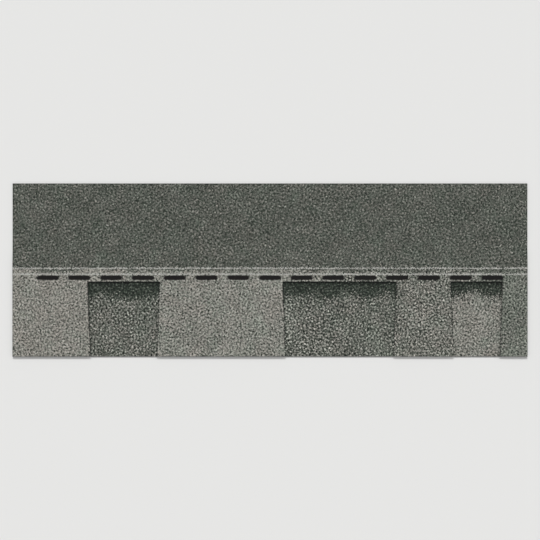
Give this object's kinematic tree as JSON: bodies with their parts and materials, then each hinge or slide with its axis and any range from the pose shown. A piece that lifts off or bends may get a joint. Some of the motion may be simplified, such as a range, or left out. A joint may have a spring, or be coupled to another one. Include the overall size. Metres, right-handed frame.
{
  "type": "laminated asphalt shingle",
  "caption": "Laminated asphalt roof shingle of two glued plies: the upper one cut into flared teeth over a plain backer, with self-seal dashes on its face.",
  "frame": {"origin": "middle of the underside, in the plane of the level floor that the shingle lies on", "axes": "+X along the butt edge (the eaves), +Y up the roof from the butt edge to the head edge, +Z out of the granule face"},
  "size_m": [1.038, 0.349, 0.0057],
  "materials": {
    "tooth_granules": "matte",
    "backer_granules": "matte",
    "laminating_asphalt": "satin",
    "seal_asphalt": "satin",
    "clear_film": "gloss"
  },
  "bodies": {
    "root": {"tooth_ply": "tooth_granules", "backer_ply": "backer_granules", "laminating_glue": "laminating_asphalt", "seal_strip": "seal_asphalt", "release_film": "clear_film"}
  },
  "joints": []
}
